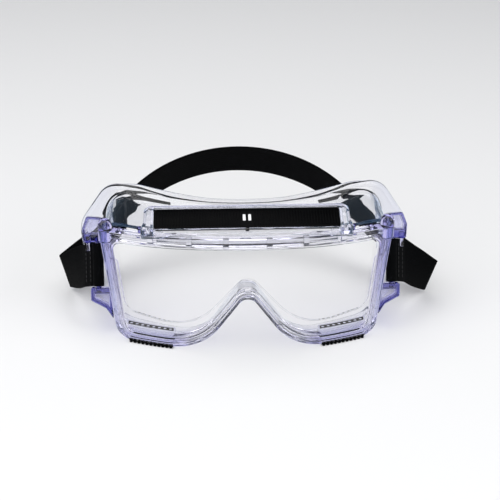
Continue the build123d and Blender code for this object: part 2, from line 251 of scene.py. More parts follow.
def rings(name, points, count, around, closed=False, capped=False):
    """A mesh from rings of points, whose last ring can join the first or be capped like it."""
    faces = []
    for i in range(count if closed else count - 1):
        for j in range(around):
            k, n = (i + 1) % count, (j + 1) % around
            faces.append((i * around + j, i * around + n, k * around + n, k * around + j))
    if capped:
        faces += [tuple(range(around)), tuple((count - 1) * around + j for j in range(around))]
    mesh = bpy.data.meshes.new(name)
    mesh.from_pydata(placed(points).reshape(-1, 3).tolist(), [], faces)
    return mesh


def swept(name, rows, closed=True):
    """A moulding from rows of stations; every row is one line of its section."""
    return rings(name, rows, len(rows), len(rows[0]), closed)


def smooth(mesh, crease):
    """Smooth but for corners sharper than the crease angle."""
    mesh.polygons.foreach_set("use_smooth", [True] * len(mesh.polygons))
    mesh.set_sharp_from_angle(angle=radians(crease))
    return mesh


def outward(mesh, crease=38):
    """Merged, with faces outwards, and smooth but for real corners."""
    work = bmesh.new()
    work.from_mesh(mesh)
    bmesh.ops.remove_doubles(work, verts=work.verts, dist=1e-7)
    bmesh.ops.recalc_face_normals(work, faces=work.faces)
    work.to_mesh(mesh)
    work.free()
    return smooth(mesh, crease)


window, rim_edge = outline(RIM_WINDOW), outline(RIM_OUTER)
rim_inset, rim_waist = outline(moved_in(RIM_OUTER, 0.3)), outline(moved_in(RIM_OUTER, 0.9))
rim_back = outline(moved_in(RIM_OUTER, 2.2))
lens_seat = outline(moved_in(RIM_WINDOW, -2.1))


def rim_row(share, set_back):
    """One line of the rim's face, from the window's edge (0) to the outer edge (1)."""
    return at_lens(mix(window, rim_edge, share), set_back)


POST_FROM, POST_BLEND, POST_GROOVE = 64.0, 7.0, 0.9  # the side posts have a second, shallower groove
on_post = np.clip((np.abs(window[:, 0]) - POST_FROM) / POST_BLEND, 0.0, 1.0)
post_groove = 0.1 + POST_GROOVE * on_post
RIM_BACK = 7.98
rim_section = [
    at_lens(window, 2.42), at_lens(window, 0.8),
    rim_row(0.03, 0.3), rim_row(0.09, 0.0), rim_row(0.38, 0.0), rim_row(0.40, 0.2),
    rim_row(0.415, 1.2), rim_row(0.475, 1.2), rim_row(0.49, 0.2), rim_row(0.51, 0.0),
    rim_row(0.68, 0.0), rim_row(0.70, post_groove), rim_row(0.76, post_groove),
    rim_row(0.78, 0.0), rim_row(0.90, 0.0), rim_row(0.96, 0.25), rim_row(0.99, 0.8),
    at_lens(rim_edge, 1.6), at_lens(rim_edge, 5.2), at_lens(rim_inset, 5.8),
    at_lens(rim_waist, 6.4), at_lens(rim_waist, 7.8),
    at_lens(outline(moved_in(RIM_OUTER, 1.2)), RIM_BACK), at_lens(rim_back, RIM_BACK),
    at_lens(mix(window, rim_back, 0.2), RIM_BACK), at_lens(window, 7.5),
    at_lens(window, 4.6), at_lens(lens_seat, 4.6), at_lens(lens_seat, 2.42),
]
rim = linked(outward(swept("lens_rim_moulding", rim_section)), "lens_rim_moulding")


def block(name, corners, from_level, to_level, soften, place, segments=3):
    """A prism with softened edges, from corners in a plane and two levels across it."""
    work = bmesh.new()
    low = [work.verts.new((a, b, from_level)) for a, b in corners]
    high = [work.verts.new((a, b, to_level)) for a, b in corners]
    work.faces.new(low[::-1])
    work.faces.new(high)
    for i in range(len(corners)):
        n = (i + 1) % len(corners)
        work.faces.new((low[i], low[n], high[n], high[i]))
    bmesh.ops.recalc_face_normals(work, faces=work.faces)
    if soften:
        bmesh.ops.bevel(work, geom=work.edges[:], offset=soften, segments=segments,
                        profile=0.5, affect="EDGES", clamp_overlap=True)
    bmesh.ops.transform(work, matrix=place, verts=work.verts)
    mesh = bpy.data.meshes.new(name)
    work.to_mesh(mesh)
    work.free()
    coords = np.zeros(len(mesh.vertices) * 3)
    mesh.vertices.foreach_get("co", coords)
    mesh.vertices.foreach_set("co", placed(coords.reshape(-1, 3)).ravel())
    return outward(mesh)


def axes(origin, x, y, z):
    """A placing matrix from an origin and three directions."""
    return Matrix(((x[0], y[0], z[0], origin[0]), (x[1], y[1], z[1], origin[1]),
                   (x[2], y[2], z[2], origin[2]), (0, 0, 0, 1)))


def box_corners(width, depth):
    w, d = width / 2, depth / 2
    return [(-w, -d), (w, -d), (w, d), (-w, d)]


def lens_y(x, set_back=0.0):
    return LENS_RADIUS - ((LENS_RADIUS - set_back) ** 2 - x * x) ** 0.5


def carved(base, add=(), cut=(), crease=38):
    """The base joined with some solids and cut by others, as a plain mesh."""
    helpers = []
    for meshes, work in ((add, "UNION"), (cut, "DIFFERENCE")):
        for mesh in meshes:
            helper = linked(mesh, "carving_" + mesh.name)
            step = base.modifiers.new(mesh.name, "BOOLEAN")
            step.solver, step.operation, step.object = "MANIFOLD", work, helper
            helpers.append(helper)
    bpy.context.view_layer.update()
    result = bpy.data.meshes.new_from_object(base.evaluated_get(bpy.context.evaluated_depsgraph_get()))
    base.modifiers.clear()
    result.name = base.name
    base.data = outward(result, crease)
    for helper in helpers:
        bpy.data.objects.remove(helper)
    return base


def joined(name, *meshes, crease=38):
    """Several meshes as one."""
    work = bmesh.new()
    for mesh in meshes:
        work.from_mesh(mesh)
    mesh = bpy.data.meshes.new(name)
    work.to_mesh(mesh)
    work.free()
    return smooth(mesh, crease)


def turned(name, rows, place, around=32):
    """A closed turned shape from (radius, height) rows, its ends on the axis."""
    points = []
    for radius, height in rows:
        for j in range(around):
            a = 2 * pi * j / around
            points.append(place @ Vector((radius * cos(a), radius * sin(a), height)))
    return outward(rings(name, points, len(rows), around))


def dome(radius, base, rise, steps=7):
    """Rows that close a turned shape with a dome."""
    rows = [(radius * cos(a * pi / 2 / steps), base + rise * sin(a * pi / 2 / steps)) for a in range(steps)]
    return rows + [(0.0, base + rise)]


LENS_TABS, TAB_FOOT, TAB_WIDTH = ((11.8, 69.2), (31.8, 69.2), (52.7, 67.6)), 63.4, 3.2  # (x, top)
KNUCKLE_AT, KNUCKLE_RADIUS, KNUCKLE_HALF = (78.2, 21.5, 64.2), 3.9, 4.8
NUB_AT, NUB_RADIUS = (17.6, 14.4), 1.3
NOSE_TAB_AT, NOSE_TAB_WIDTH = (0, 2.2, 35.6), 3.6
RIM_CREASE = 24  # the rail's fine lines stay crisp
tabs = []
for side in (-1, 1):
    for x, top in LENS_TABS:
        slope = side * x / LENS_RADIUS
        along = Vector((cos(slope), sin(slope), 0))
        tab_place = axes((side * x, lens_y(x) + 0.3, (TAB_FOOT + top) / 2), along,
                         (0, 0, 1), (-along.y, along.x, 0))
        tabs.append(block("lens_tab", box_corners(TAB_WIDTH, top - TAB_FOOT), -1.0, 1.1, 0.2, tab_place))
    knuckle_rows = [(0.0, -KNUCKLE_HALF), (3.4, -KNUCKLE_HALF), (KNUCKLE_RADIUS, -4.3)]
    knuckle_rows += dome(KNUCKLE_RADIUS, KNUCKLE_HALF, KNUCKLE_RADIUS)
    x, y, z = KNUCKLE_AT
    tabs.append(turned("knuckle", knuckle_rows, Matrix.Translation((side * x, y, z))))
nub_rows = [(0.0, -1.0), (NUB_RADIUS, -1.0), (NUB_RADIUS, 0.3)] + dome(NUB_RADIUS, 0.3, 0.4)
for side in (-1, 1):
    tabs.append(turned("nub", nub_rows, axes((side * NUB_AT[0], lens_y(NUB_AT[0]), NUB_AT[1]),
                                             (1, 0, 0), (0, 0, 1), (0, -1, 0))))
tabs.append(block("nose_tab", box_corners(NOSE_TAB_WIDTH, NOSE_TAB_WIDTH), -1.5, 1.5, 0.4,
                  axes(NOSE_TAB_AT, (1, 0, 0), (0, 0, 1), (0, -1, 0))))
carved(rim, tabs, crease=RIM_CREASE)

# A fine bead behind the lens, moulded from post to post round the foot and the nose.
BEAD_PATH = [(0, 42.5, 0), (3.2, 42.5, 8), (30.0, 11.0, 34), (68.5, 17.5, 9), (72.0, 47.5, 4),
             (75.4, 48.4, 0)]
BEAD_RADIUS, BEAD_BACK, BEAD_AROUND = 0.5, 5.05, 8


def rounded_path(corners):
    """An open path (x, z) with its inner corners rounded."""
    points = [np.array(corners[0][:2])]
    for before, (x, z, radius), after in zip(corners, corners[1:], corners[2:]):
        a, p, b = np.array(before[:2]), np.array((x, z)), np.array(after[:2])
        u, v = (p - a) / np.hypot(*(p - a)), (b - p) / np.hypot(*(b - p))
        reach = min(radius * tan(acos(float(u @ v)) / 2),
                    np.hypot(*(p - a)) * 0.9, np.hypot(*(b - p)) * 0.6)
        for t in np.linspace(0, 1, 13):
            points.append((p - u * reach) * (1 - t) ** 2 + p * 2 * t * (1 - t) + (p + v * reach) * t * t)
    return np.array(points + [np.array(corners[-1][:2])])


half_bead = rounded_path(BEAD_PATH)
bead_ring = np.concatenate([half_bead[::-1] * (-1, 1), half_bead[1:]])
bead_way = np.gradient(bead_ring, axis=0)
bead_way /= np.hypot(*bead_way.T)[:, None]
bead_side = bead_way[:, ::-1] * (-1, 1)
bead_rows = []
for a in np.linspace(0, 2 * pi, BEAD_AROUND + 1)[:-1]:
    bead_line = bead_ring + bead_side * BEAD_RADIUS * cos(a)
    bead_rows.append(at_lens(bead_line, BEAD_BACK + BEAD_RADIUS * sin(a)))
bead = rings("lens_bead", np.stack(bead_rows, 1), len(bead_ring), BEAD_AROUND, capped=True)


def node_tree(name, kind, inputs, outputs):
    """A new node tree with its sockets, and its input and output nodes."""
    tree = bpy.data.node_groups.new(name, kind)
    for way, sockets in (("INPUT", inputs), ("OUTPUT", outputs)):
        for socket, value in sockets:
            tree.interface.new_socket(socket, in_out=way, socket_type="NodeSocket" + value)
    return tree, tree.nodes.new("NodeGroupInput"), tree.nodes.new("NodeGroupOutput")


def reckoned(tree, operation, *values):
    """The result of a Math node, from numbers and other nodes' outputs."""
    node = tree.nodes.new("ShaderNodeMath")
    node.operation = operation
    for socket, value in zip(node.inputs, values):
        if isinstance(value, (int, float)):
            socket.default_value = value
        else:
            tree.links.new(value, socket)
    return node.outputs[0]


def moulded_waves():
    """Shader group: the slow ripple and faint haze that a moulded surface keeps from its tool."""
    group, given, result = node_tree(
        "moulded_waves", "ShaderNodeTree", (("Scale", "Float"), ("Depth", "Float"), ("Haze", "Float")),
        (("Roughness", "Float"), ("Normal", "Vector")))
    nodes, links = group.nodes, group.links
    place = nodes.new("ShaderNodeTexCoord")
    ripple, haze = nodes.new("ShaderNodeTexNoise"), nodes.new("ShaderNodeTexNoise")
    ripple.inputs["Detail"].default_value = 1.0
    haze.inputs["Scale"].default_value = 60.0
    links.new(place.outputs["Object"], ripple.inputs["Vector"])
    links.new(place.outputs["Object"], haze.inputs["Vector"])
    links.new(given.outputs["Scale"], ripple.inputs["Scale"])
    bump = nodes.new("ShaderNodeBump")
    bump.inputs["Strength"].default_value = 1.0
    links.new(given.outputs["Depth"], bump.inputs["Distance"])
    links.new(ripple.outputs[0], bump.inputs["Height"])
    links.new(reckoned(group, "MULTIPLY", haze.outputs[0], given.outputs["Haze"]), result.inputs["Roughness"])
    links.new(bump.outputs[0], result.inputs["Normal"])
    return group


waves_group = moulded_waves()


POST_VIOLET, FOOT_VIOLET = (0.069, 0.081), (0.006, 0.001)  # metres from and to full colour


def gathered_violet():
    """Shader group: the vinyl looks violet where it is thickest, at the side posts and the foot."""
    group, given, result = node_tree("gathered_violet", "ShaderNodeTree",
                                     (("Thin", "Color"), ("Thick", "Color")), (("Color", "Color"),))
    nodes, links = group.nodes, group.links
    place, split = nodes.new("ShaderNodeTexCoord"), nodes.new("ShaderNodeSeparateXYZ")
    links.new(place.outputs["Object"], split.inputs[0])
    shares = []
    for source, reach in ((reckoned(group, "ABSOLUTE", split.outputs["X"]), POST_VIOLET),
                          (split.outputs["Z"], FOOT_VIOLET)):
        share = nodes.new("ShaderNodeMapRange")
        share.interpolation_type = "SMOOTHSTEP"
        share.inputs["From Min"].default_value, share.inputs["From Max"].default_value = reach
        links.new(source, share.inputs["Value"])
        shares.append(share.outputs["Result"])
    blend = nodes.new("ShaderNodeMix")
    blend.data_type = "RGBA"
    links.new(reckoned(group, "MAXIMUM", *shares), blend.inputs["Factor"])
    links.new(given.outputs["Thin"], blend.inputs["A"])
    links.new(given.outputs["Thick"], blend.inputs["B"])
    links.new(blend.outputs["Result"], result.inputs["Color"])
    return group


violet_group = gathered_violet()


def clear_plastic(name, tint, density, bend=1.46, haze=0.08, ripple=0.00012, scale=90.0,
                  thick=None, bloom=0.0):
    """Clear moulded plastic: it tints light by its thickness and lets soft light straight through."""
    material, tree, out = new_material(name)
    nodes, links = tree.nodes, tree.links
    shader = principled(tree, out, Base_Color=(1, 1, 1, 1), Transmission_Weight=1.0, IOR=bend,
                        Sheen_Weight=bloom, Sheen_Roughness=0.35, Sheen_Tint=(0.30, 0.55, 0.75, 1))
    if thick:
        gathered = nodes.new("ShaderNodeGroup")
        gathered.node_tree = violet_group
        gathered.inputs["Thin"].default_value = (1, 1, 1, 1)
        gathered.inputs["Thick"].default_value = thick
        links.new(gathered.outputs["Color"], shader.inputs["Base Color"])
    waves = nodes.new("ShaderNodeGroup")
    waves.node_tree = waves_group
    for socket, value in (("Scale", scale), ("Depth", ripple), ("Haze", haze)):
        waves.inputs[socket].default_value = value
    links.new(waves.outputs["Roughness"], shader.inputs["Roughness"])
    links.new(waves.outputs["Normal"], shader.inputs["Normal"])
    path, through = nodes.new("ShaderNodeLightPath"), nodes.new("ShaderNodeBsdfTransparent")
    through.inputs[0].default_value = (0.98, 0.98, 0.985, 1)
    choice = nodes.new("ShaderNodeMixShader")
    soft_ray = reckoned(tree, "MAXIMUM", path.outputs["Is Shadow Ray"], path.outputs["Is Diffuse Ray"])
    for source, socket in ((soft_ray, 0), (shader.outputs[0], 1), (through.outputs[0], 2)):
        links.new(source, choice.inputs[socket])
    links.new(choice.outputs[0], out.inputs["Surface"])
    if density:
        body = nodes.new("ShaderNodeVolumeAbsorption")
        body.inputs["Color"].default_value = tint
        body.inputs["Density"].default_value = density
        links.new(body.outputs[0], out.inputs["Volume"])
    return material


def finished(piece, material, body, slot, *nodes):
    """One material on a finished piece, its body and the CAD nodes it stands for; slot is not used."""
    piece.data.materials.clear()
    piece.data.materials.append(material)
    if body:
        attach(piece, body)
    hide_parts(*nodes)


VIOLET_TINT = (0.50, 0.49, 0.82, 1)
rim_vinyl = clear_plastic("violet_rim_vinyl", VIOLET_TINT, 30.0, haze=0.04, ripple=0.00005,
                          thick=(0.54, 0.51, 0.87, 1))
rim.data = joined("lens_rim_moulding", rim.data, outward(bead), crease=RIM_CREASE)
finished(rim, rim_vinyl, "mask", "clear_vinyl", "lens_rim")

# ---- Mask body, face flange and vent tray ----------------------------------------------
# The thin clear walls behind the rim, the beaded flange that seals round the face, and the
# tray for the top vent are one soft moulding. Its edges gather the violet of the vinyl.
WALL, FLANGE_ROUND = 2.0, 3.4  # the flange's rounded edge reaches this far in from it
OUTER_SHARES = (0.003, 0.06, 0.2, 0.42, 0.60, 0.76, 0.88, 0.95)
INNER_SHARES = (0.97, 0.85, 0.65, 0.45, 0.25, 0.08, 0.003)
FLANGE_FRONT = ((0.05, 1.75), (0.14, 1.45), (0.3, 1.35))  # (share of its width, height over the face)
FLANGE_EDGE = (  # (distance in from its edge, height)
    (FLANGE_ROUND, 1.35), (2.8, 1.7), (2.1, 2.0), (1.2, 2.05), (0.45, 1.8), (0.08, 1.4),
    (0.0, 1.0), (0.08, 0.6), (0.45, 0.2), (1.2, 0.0), (3.0, 0.0),
)
SEAL_LIP = ((0.4, 0.02), (0.1, 0.25), (0.0, 0.8))  # (share of the wall, height)
wall_front, wall_rear = wall_ends(rim_edge, outline(BODY_REAR))
inner_front, inner_rear = wall_ends(outline(moved_in(RIM_OUTER, WALL)), outline(moved_in(BODY_REAR, WALL)))
body_rear, seal_hole = outline(BODY_REAR), outline(moved_in(BODY_REAR, WALL))
seal_edge = outline(SEAL_EDGE, (0, 1, 2.5, 5, 7))
seal_width = np.hypot(*(seal_edge - body_rear).T)[:, None]


def from_seal_edge(distance):
    """Stations in from the flange's edge, closed up where the flange is narrow."""
    share = np.minimum(distance, distance * 0.8 * seal_width / FLANGE_ROUND) / seal_width
    return mix(seal_edge, body_rear, share)


body_section = [mix(wall_front, wall_rear, share) for share in OUTER_SHARES]
body_section += [at_face(mix(body_rear, seal_edge, share), height) for share, height in FLANGE_FRONT]
body_section += [at_face(from_seal_edge(distance), height) for distance, height in FLANGE_EDGE]
body_section.append(at_face(mix(body_rear, seal_edge, 0.1), 0.0))
body_section += [at_face(mix(seal_hole, body_rear, share), height) for share, height in SEAL_LIP]
body_section += [mix(inner_front, inner_rear, share) for share in INNER_SHARES]
shell = linked(outward(swept("mask_body_moulding", body_section)), "mask_body_moulding")

VENT_FRONT, VENT_TILT = (8.0, 71.8), radians(17.5)
VENT_COVER = (102.0, 15.6)
VENT_TRAY = (113.0, 20.2)
VENT_PLACE = axes((0, *VENT_FRONT), (1, 0, 0), (0, cos(VENT_TILT), sin(VENT_TILT)),
                  (0, -sin(VENT_TILT), cos(VENT_TILT)))


def rounded_corners(width, depth, start, radius, middle=0.0, steps=8):
    """Corners of a rounded rectangle that lies from a start depth backwards."""
    corners = []
    for cx, cy, first in ((1, 1, 0), (-1, 1, 90), (-1, -1, 180), (1, -1, 270)):
        for k in range(steps + 1):
            a = radians(first + 90 * k / steps)
            corners.append((middle + cx * (width / 2 - radius) + radius * cos(a),
                            start + depth / 2 + cy * (depth / 2 - radius) + radius * sin(a)))
    return corners


TRAY_FLARE, REAR_ROUND, TRAY_FRONT = 1.5, 5.0, -1.4  # the tray's ends sweep out towards the front
half_width, rear_line = VENT_TRAY[0] / 2, VENT_TRAY[1] + TRAY_FRONT
tray_side = [(half_width + TRAY_FLARE - 0.9, TRAY_FRONT)]
tray_side += [(half_width + TRAY_FLARE * (1 + cos(pi * k / 10)) / 2, -0.6 + 0.7 * k) for k in range(11)]
for k in range(1, 9):
    a = pi * k / 16
    tray_side.append((half_width - REAR_ROUND * (1 - cos(a)), rear_line - REAR_ROUND * (1 - sin(a))))
tray_corners = tray_side + [(-x, v) for x, v in reversed(tray_side)]
tray = block("vent_tray", tray_corners, -5.5, 0.9, 0.35, VENT_PLACE, 2)
recess_corners = rounded_corners(VENT_COVER[0] + 0.6, VENT_COVER[1] + 0.6, -0.3, 1.5)
recess = block("vent_recess", recess_corners, -4.4, 5, 0, VENT_PLACE)
pockets = [block("tray_pocket", rounded_corners(2.6, 14.5, 1.0, 1.2, side * 53.9), -3.0, 5, 0, VENT_PLACE)
           for side in (-1, 1)]
slot_cut = block("air_slot", box_corners(92, 11), -8, 8, 0, Matrix.Translation((0, 17, 70)))
carved(shell, [tray], [recess, slot_cut] + pockets)
shell_vinyl = clear_plastic("clear_body_vinyl", VIOLET_TINT, 38.0, bend=1.4, haze=0.05, ripple=0.0001,
                            thick=(0.93, 0.94, 0.99, 1), bloom=0.40)
finished(shell, shell_vinyl, "mask", "clear_vinyl", "goggle_body", "face_seal", "top_vent_frame")

# ---- Strap lugs -------------------------------------------------------------------------
# Two thick lugs a side hold the strap's pin. They are moulded with the mask; the lower one is
# a triangular bracket with a pocket in it, the upper one has a finger that keeps the strap in.
PIN_CENTRE = Vector((84.5, 40.0, 35.3))
PIN_UP = Vector((0, sin(FACE_TILT), cos(FACE_TILT)))
PIN_BACK = PIN_UP.cross(Vector((1, 0, 0)))
LUG_GAP = 13.2  # half the strap's width and its side play
LUG_HALF, LUG_ROUND = 4.2, 0.8
UPPER_LUG = [(-4.4, LUG_GAP), (8, LUG_GAP), (8.6, 21), (6, 28), (-3.6, 27), (-4.4, 25)]
UPPER_POCKET = [(-3.3, 17.8), (7.2, 17.8), (7.6, 21), (5.3, 26.8), (-2.8, 25.9)]
FINGER = [(4.2, LUG_GAP - 4.6), (6.0, LUG_GAP - 4.6), (6.0, 15), (4.2, 15)]
BRIDGE = [(3.6, LUG_GAP), (6.6, LUG_GAP), (6.6, 17), (3.6, 17)]
LOWER_LUG = [(-7.3, -LUG_GAP), (4.4, -LUG_GAP), (4.4, -20.4), (-4.2, -25), (-8.2, -31)]
LOWER_POCKET = [(-6.2, -16.4), (2.6, -16.4), (2.6, -19.4), (-5.0, -23.2), (-6.6, -25.6)]


def both_pockets(corners, place):
    """Solids that hollow a lug from its front and from its back, with a web left between."""
    return [block("pocket", corners, low, high, 0.3, place) for low, high in ((-6, -0.8), (0.8, 6))]


lug_vinyl = clear_plastic("violet_lug_vinyl", VIOLET_TINT, 430.0)
for name, side in (("left", -1), ("right", 1)):
    lug_place = axes((side * PIN_CENTRE.x, PIN_CENTRE.y, PIN_CENTRE.z), (side, 0, 0), PIN_UP, PIN_BACK)
    upper = linked(block("upper", UPPER_LUG, -LUG_HALF, LUG_HALF, LUG_ROUND, lug_place),
                   f"upper_strap_lug_{name}")
    keeper = [block("finger", FINGER, -6.4, -4.6, 0.35, lug_place),
              block("bridge", BRIDGE, -6.4, -3.6, 0.35, lug_place)]
    carved(upper, keeper, both_pockets(UPPER_POCKET, lug_place))
    finished(upper, lug_vinyl, "mask", "clear_vinyl", f"strap_lug_upper_{name}")
    lower = linked(block("lower", LOWER_LUG, -LUG_HALF, LUG_HALF, LUG_ROUND, lug_place),
                   f"lower_strap_lug_{name}")
    carved(lower, [], both_pockets(LOWER_POCKET, lug_place))
    finished(lower, lug_vinyl, "mask", "clear_vinyl", f"strap_lug_lower_{name}")

# ---- Lens -------------------------------------------------------------------------------
# One hard clear sheet, 2 mm thick and curved to the rim, its edge let into the rim's groove.
LENS_FRONT, LENS_REAR, LENS_BEVEL = 2.5, 4.5, 0.2  # set-backs behind the rim's front curve
lens_edge = outline(moved_in(RIM_WINDOW, -2.0))
lens_middle = np.array([[0.0, 50.0]])
lens_shares = [0.0, 0.04] + [k / 22 for k in range(2, 22)] + [0.985, 1.0]
lens_rows = [at_lens(mix(lens_middle, lens_edge, share), LENS_FRONT) for share in lens_shares]
lens_rows += [at_lens(mix(lens_middle, lens_edge, share), LENS_REAR) for share in reversed(lens_shares)]
lens_rows[len(lens_shares) - 1] = at_lens(lens_edge, LENS_FRONT + LENS_BEVEL)
lens_rows[len(lens_shares)] = at_lens(lens_edge, LENS_REAR - LENS_BEVEL)
lens = linked(outward(swept("lens_sheet", lens_rows, closed=False)), "lens_sheet")
lens_clear = clear_plastic("clear_lens_sheet", VIOLET_TINT, 0.0, bend=1.49, haze=0.0, ripple=0.00001,
                           scale=25.0)
finished(lens, lens_clear, "mask", "clear_lens", "lens")

# ---- Top vent cover -----------------------------------------------------------------------
# A black ribbed plate snapped into the tray. Its two windows show the pale catch below it.
def moulded_grain():
    """Shader group: the fine spark texture of opaque mouldings, with worn, smoother patches."""
    group, given, result = node_tree(
        "moulded_grain", "ShaderNodeTree",
        (("Color", "Color"), ("Worn Color", "Color"), ("Smooth", "Float"), ("Rough", "Float"),
         ("Depth", "Float")), (("Color", "Color"), ("Roughness", "Float"), ("Normal", "Vector")))
    nodes, links = group.nodes, group.links
    place = nodes.new("ShaderNodeTexCoord")
    grain, patch = nodes.new("ShaderNodeTexNoise"), nodes.new("ShaderNodeTexNoise")
    for texture, scale, detail in ((grain, 2600.0, 2.0), (patch, 130.0, 3.0)):
        texture.inputs["Scale"].default_value = scale
        texture.inputs["Detail"].default_value = detail
        links.new(place.outputs["Object"], texture.inputs["Vector"])
    rough = nodes.new("ShaderNodeMapRange")
    links.new(patch.outputs[0], rough.inputs["Value"])
    rough.inputs["From Min"].default_value, rough.inputs["From Max"].default_value = 0.3, 0.7
    links.new(given.outputs["Smooth"], rough.inputs["To Min"])
    links.new(given.outputs["Rough"], rough.inputs["To Max"])
    blend = nodes.new("ShaderNodeMix")
    blend.data_type = "RGBA"
    links.new(patch.outputs[0], blend.inputs["Factor"])
    links.new(given.outputs["Color"], blend.inputs["A"])
    links.new(given.outputs["Worn Color"], blend.inputs["B"])
    bump = nodes.new("ShaderNodeBump")
    bump.inputs["Strength"].default_value = 0.6
    links.new(given.outputs["Depth"], bump.inputs["Distance"])
    links.new(grain.outputs[0], bump.inputs["Height"])
    links.new(blend.outputs["Result"], result.inputs["Color"])
    links.new(rough.outputs["Result"], result.inputs["Roughness"])
    links.new(bump.outputs[0], result.inputs["Normal"])
    return group


grain_group = moulded_grain()


def opaque_plastic(name, color, worn, smooth, rough, depth=0.00003, **values):
    """A grained opaque moulding."""
    material, tree, out = new_material(name)
    shader = principled(tree, out, **values)
    grain = tree.nodes.new("ShaderNodeGroup")
    grain.node_tree = grain_group
    for socket, value in (("Color", color), ("Worn Color", worn), ("Smooth", smooth), ("Rough", rough),
                          ("Depth", depth)):
        grain.inputs[socket].default_value = value
    for source, socket in (("Color", "Base Color"), ("Roughness", "Roughness"), ("Normal", "Normal")):
        tree.links.new(grain.outputs[source], shader.inputs[socket])
    return material


def copies_on(tree, given, result, points, facing=None):
    """The end of a row's tree: the piece's own mesh on each point, realised, with one material."""
    nodes, links = tree.nodes, tree.links
    copies, real = nodes.new("GeometryNodeInstanceOnPoints"), nodes.new("GeometryNodeRealizeInstances")
    paint = nodes.new("GeometryNodeSetMaterial")
    links.new(points, copies.inputs["Points"])
    links.new(given.outputs["Geometry"], copies.inputs["Instance"])
    if facing:
        links.new(facing, copies.inputs["Rotation"])
    links.new(copies.outputs[0], real.inputs[0])
    links.new(real.outputs[0], paint.inputs["Geometry"])
    links.new(given.outputs["Material"], paint.inputs["Material"])
    links.new(paint.outputs[0], result.inputs[0])
    return tree


def row_tree():
    """Geometry Nodes: copies of the piece's own mesh in a straight row."""
    tree, given, result = node_tree(
        "row_of_copies", "GeometryNodeTree",
        (("Geometry", "Geometry"), ("Count", "Int"), ("Step", "Vector"), ("Material", "Material")),
        (("Geometry", "Geometry"),))
    line = tree.nodes.new("GeometryNodeMeshLine")
    line.mode = "OFFSET"
    tree.links.new(given.outputs["Count"], line.inputs["Count"])
    tree.links.new(given.outputs["Step"], line.inputs["Offset"])
    return copies_on(tree, given, result, line.outputs[0])


row_of_copies = row_tree()


def grown(mesh, tree, **values):
    """A mesh put through a row's tree with its inputs set, as one plain mesh."""
    holder = linked(mesh, "row_" + mesh.name)
    row = holder.modifiers.new("row", "NODES")
    row.node_group = tree
    for item in tree.interface.items_tree:
        if item.in_out == "INPUT" and item.name in values:
            row[item.identifier] = values[item.name]
    bpy.context.view_layer.update()
    result = bpy.data.meshes.new_from_object(holder.evaluated_get(bpy.context.evaluated_depsgraph_get()))
    bpy.data.objects.remove(holder)
    return result


def repeated(mesh, count, step, material):
    """A mesh repeated along a straight row."""
    return grown(mesh, row_of_copies, Count=count, Step=[float(v) * MM for v in step], Material=material)


black = opaque_plastic("black_moulding", (0.0010, 0.0011, 0.0013, 1), (0.0022, 0.0023, 0.0028, 1),
                       0.28, 0.42, Specular_IOR_Level=0.03)
WINDOW_AT, WINDOW_UP, WINDOW_HIGH = 1.5, 7.9, 5.2
RIB_COUNT, RIB_PITCH, RIB_WIDTH, RIB_FIRST = 30, 1.56, 0.62, 4.2
TOOTH_COUNT, TOOTH_PITCH, TOOTH_FIRST = 63, 1.58, -49.0
RIB_LOW, RIB_HIGH = 0.8, 1.42  # the plate's face is at 1.0
plate = linked(block("plate", rounded_corners(*VENT_COVER, 0, 1.5), -0.8, 1.0, 0.25, VENT_PLACE, 2),
               "top_vent_plate")
window_foot = WINDOW_UP - WINDOW_HIGH / 2
windows = [block("window", rounded_corners(1.8, WINDOW_HIGH, window_foot, 0.3, side * WINDOW_AT),
                 -4, 4, 0, VENT_PLACE) for side in (-1, 1)]
grip = block("grip", rounded_corners(2.0, 2.4, -1.2, 0.4), -0.8, 0.6, 0.15, VENT_PLACE, 2)
carved(plate, [grip], windows)
ribs = []
for way in (1, -1):
    rib_place = VENT_PLACE @ Matrix.Translation((way * RIB_FIRST, VENT_COVER[1] / 2 - 0.5, 0))
    rib = block("rib", box_corners(RIB_WIDTH, VENT_COVER[1] - 4.4), RIB_LOW, RIB_HIGH, 0.2, rib_place, 2)
    ribs.append(repeated(rib, RIB_COUNT, (way * RIB_PITCH, 0, 0), black))
tooth_place = VENT_PLACE @ Matrix.Translation((TOOTH_FIRST, VENT_COVER[1] - 1.2, 0))
tooth = block("tooth", box_corners(0.8, 0.7), RIB_LOW, RIB_HIGH, 0.2, tooth_place, 2)
ribs.append(repeated(tooth, TOOTH_COUNT, (TOOTH_PITCH, 0, 0), black))
plate.data = joined("top_vent_plate", plate.data, *ribs)
finished(plate, black, "mask", "black_plastic", "top_vent_cover")

# The catch clips the cover down from below; its two pale lugs stand in the windows.
pale = opaque_plastic("pale_moulding", (0.86, 0.87, 0.88, 1), (0.80, 0.81, 0.83, 1), 0.3, 0.5)
catch = linked(block("catch", rounded_corners(9.0, 9.0, 3.4, 1.0), -2.0, -1.0, 0.2, VENT_PLACE, 2),
               "top_vent_clip")
carved(catch, [block("catch_lug", rounded_corners(1.5, 4.9, WINDOW_UP - 2.45, 0.3, side * WINDOW_AT),
                     -1.6, 1.1, 0.2, VENT_PLACE, 2) for side in (-1, 1)])
finished(catch, pale, "mask", "pale_plastic", "top_vent_catch")

# ---- Splash baffle --------------------------------------------------------------------------
# A thin clear tray under the air slot; air goes round it and splashes don't. It is clipped in.
baffle_clear = clear_plastic("clear_baffle_sheet", VIOLET_TINT, 0.0, bend=1.2, haze=0.1, ripple=0.00002)
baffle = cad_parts["top_vent_baffle"]
baffle.data.materials.clear()
baffle.data.materials.append(baffle_clear)

